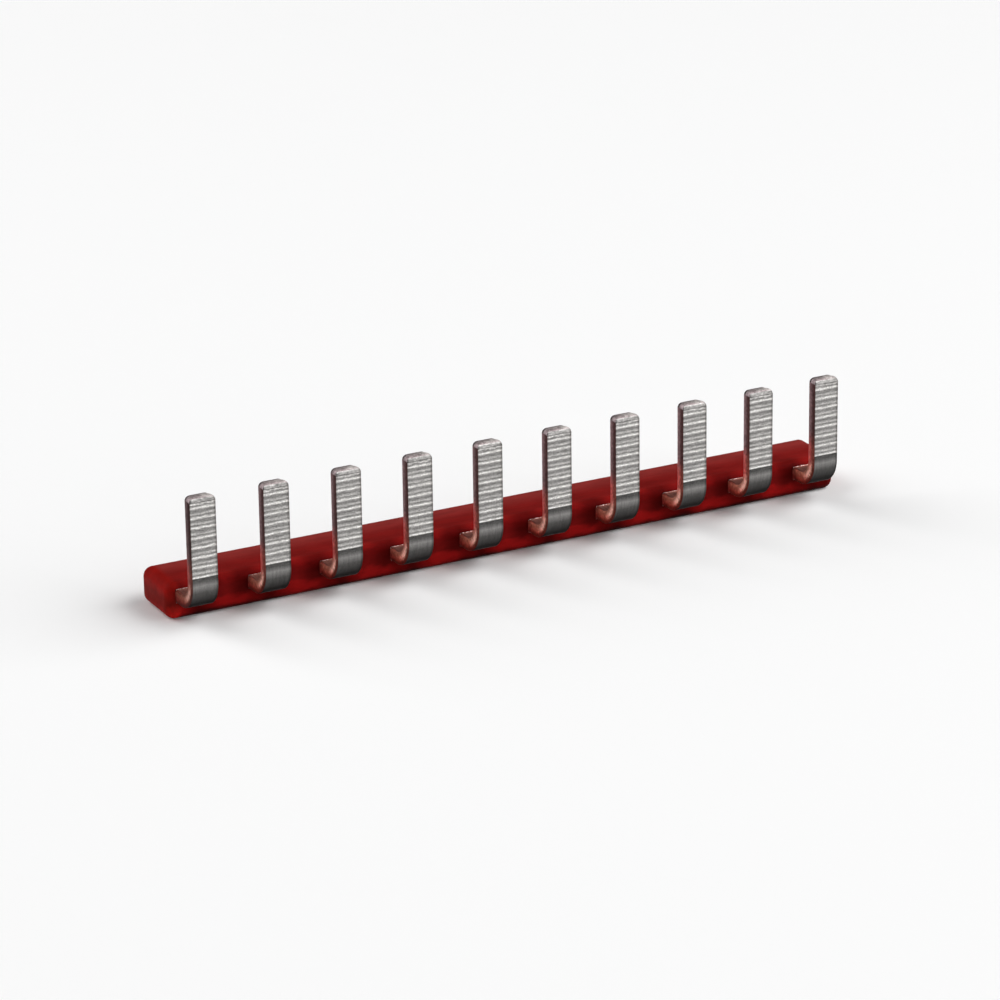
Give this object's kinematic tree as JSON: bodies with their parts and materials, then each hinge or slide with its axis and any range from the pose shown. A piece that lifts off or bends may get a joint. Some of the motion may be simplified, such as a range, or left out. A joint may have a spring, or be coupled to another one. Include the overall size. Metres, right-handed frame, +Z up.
{
  "type": "terminal block jumper",
  "caption": "Comb jumper with ribbed metal tines bent up from a round-edged red plastic bar, for bridging a row of terminal blocks.",
  "frame": {"origin": "middle of the footprint of the whole jumper, on the plane of the bar's underside", "axes": "+X along the row of tines, to the right as seen from the ribbed faces; -Y the way the ribbed faces look; +Z up, the way the tines point and are plugged in"},
  "size_m": [0.0606, 0.0088, 0.0112],
  "materials": {
    "red_plastic": "moulded polyamide, deep red, satin to semi-gloss, with light handling scratches",
    "tinned_copper": "tin-plated copper, silver grey on the rolled faces and dull copper brown on the cut edges"
  },
  "bodies": {
    "root": {"insulating_bar": "red_plastic", "contact_comb": "tinned_copper"}
  },
  "joints": []
}
